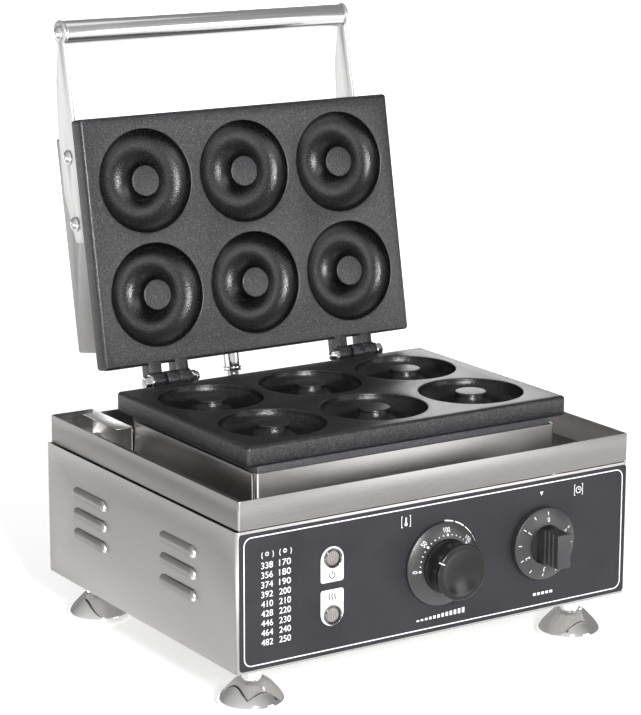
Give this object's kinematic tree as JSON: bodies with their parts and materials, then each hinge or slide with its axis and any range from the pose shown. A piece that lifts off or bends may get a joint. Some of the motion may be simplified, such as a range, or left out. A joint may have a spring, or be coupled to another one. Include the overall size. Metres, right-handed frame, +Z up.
{
  "type": "mini donut maker",
  "caption": "Countertop donut maker: stainless casing with drip tray, hinged lid with grip bar, cast ring-cavity plates, thermostat and timer knobs, levelling feet.",
  "frame": {"origin": "on the floor plane under the middle of the whole maker, seen from above", "axes": "+X to the user's right, +Y to the back, where the lid is hinged, +Z up"},
  "size_m": [0.3844, 0.4113, 0.5014],
  "materials": {
    "brushed_steel": "brushed stainless steel sheet, fine grain",
    "tray_steel": "brushed stainless steel sheet, brighter",
    "inner_steel": "plain steel sheet",
    "pan_steel": "dark heat-resistant coat on steel sheet",
    "coated_plate": "cast aluminium with black speckled non-stick coating",
    "overlay_print": "dark grey printed plastic film, fine texture",
    "knob_plastic": "black satin moulded plastic",
    "bar_chrome": "polished steel bar",
    "lens_plastic": "grey translucent lamp lens",
    "heater_sheath": "heat-tinted metal sheath",
    "insulation_board": "mineral fibre board",
    "inner_plastic": "black moulded plastic",
    "terminal_ceramic": "glazed ceramic",
    "hose_metal": "flexible bright metal hose",
    "chrome": "bright chromed or polished steel"
  },
  "bodies": {
    "base": {"casing_wrap": "brushed_steel", "back_panel": "brushed_steel", "drip_tray": "tray_steel", "well_frame": "tray_steel", "base_plate": "inner_steel", "top_deck": "inner_steel", "lower_heater_clamp": "inner_steel", "heater_pan": "pan_steel", "lower_plate": "coated_plate", "front_overlay": "overlay_print", "scale_ring": "knob_plastic", "power_lens": "lens_plastic", "heat_lens": "lens_plastic", "lower_heater": "heater_sheath", "lower_insulation": "insulation_board", "thermostat_body": "inner_plastic", "timer_body": "inner_plastic", "mains_gland": "inner_plastic", "terminal_block": "terminal_ceramic", "conduit_hose": "hose_metal", "power_bezel": "chrome", "heat_bezel": "chrome", "conduit_gland": "chrome", "pan_post_front_left": "chrome", "pan_post_front_right": "chrome", "pan_post_back_left": "chrome", "pan_post_back_right": "chrome", "base_screw_1": "chrome", "base_screw_2": "chrome", "base_screw_3": "chrome", "base_screw_4": "chrome"},
    "lid": {"upper_plate": "coated_plate", "lid_cover": "brushed_steel", "upper_heater": "heater_sheath", "upper_heater_clamp": "inner_steel", "upper_insulation": "insulation_board", "arm_left": "brushed_steel", "arm_right": "brushed_steel", "handle_bar": "bar_chrome", "conduit_ferrule": "chrome", "hinge_bolt_left": "chrome", "hinge_bolt_right": "chrome", "hinge_nut_left": "chrome", "hinge_nut_right": "chrome", "arm_screw_front_left": "chrome", "arm_screw_front_right": "chrome", "arm_screw_back_left": "chrome", "arm_screw_back_right": "chrome", "arm_screw_bar_left": "chrome", "arm_screw_bar_right": "chrome"},
    "thermostat_knob": {"thermostat_knob": "knob_plastic", "thermostat_spindle": "chrome"},
    "timer_knob": {"timer_knob": "knob_plastic", "timer_spindle": "chrome"},
    "foot_front_left": {"foot_front_left": "chrome"},
    "foot_front_right": {"foot_front_right": "chrome"},
    "foot_back_left": {"foot_back_left": "chrome"},
    "foot_back_right": {"foot_back_right": "chrome"}
  },
  "joints": [
    {"name": "lid_hinge", "type": "hinge", "parent": "base", "child": "lid", "pos_m": [0, 0.0921, 0.2047], "axis": [1, 0, 0], "range_deg": [0, 100.8], "deforming": ["conduit_hose"]},
    {"name": "thermostat_turn", "type": "hinge", "parent": "base", "child": "thermostat_knob", "pos_m": [0, -0.1725, 0.0978], "axis": [0, 1, 0], "range_deg": [-34, 240]},
    {"name": "timer_turn", "type": "hinge", "parent": "base", "child": "timer_knob", "pos_m": [0.0987, -0.1725, 0.0988], "axis": [0, 1, 0], "range_deg": [0, 300]},
    {"name": "foot_front_left_turn", "type": "hinge", "parent": "base", "child": "foot_front_left", "pos_m": [-0.1558, -0.1405, 0.02], "axis": [0, 0, 1], "continuous": true},
    {"name": "foot_front_right_turn", "type": "hinge", "parent": "base", "child": "foot_front_right", "pos_m": [0.1558, -0.1405, 0.02], "axis": [0, 0, 1], "continuous": true},
    {"name": "foot_back_left_turn", "type": "hinge", "parent": "base", "child": "foot_back_left", "pos_m": [-0.1558, 0.1099, 0.02], "axis": [0, 0, 1], "continuous": true},
    {"name": "foot_back_right_turn", "type": "hinge", "parent": "base", "child": "foot_back_right", "pos_m": [0.1558, 0.1099, 0.02], "axis": [0, 0, 1], "continuous": true}
  ]
}
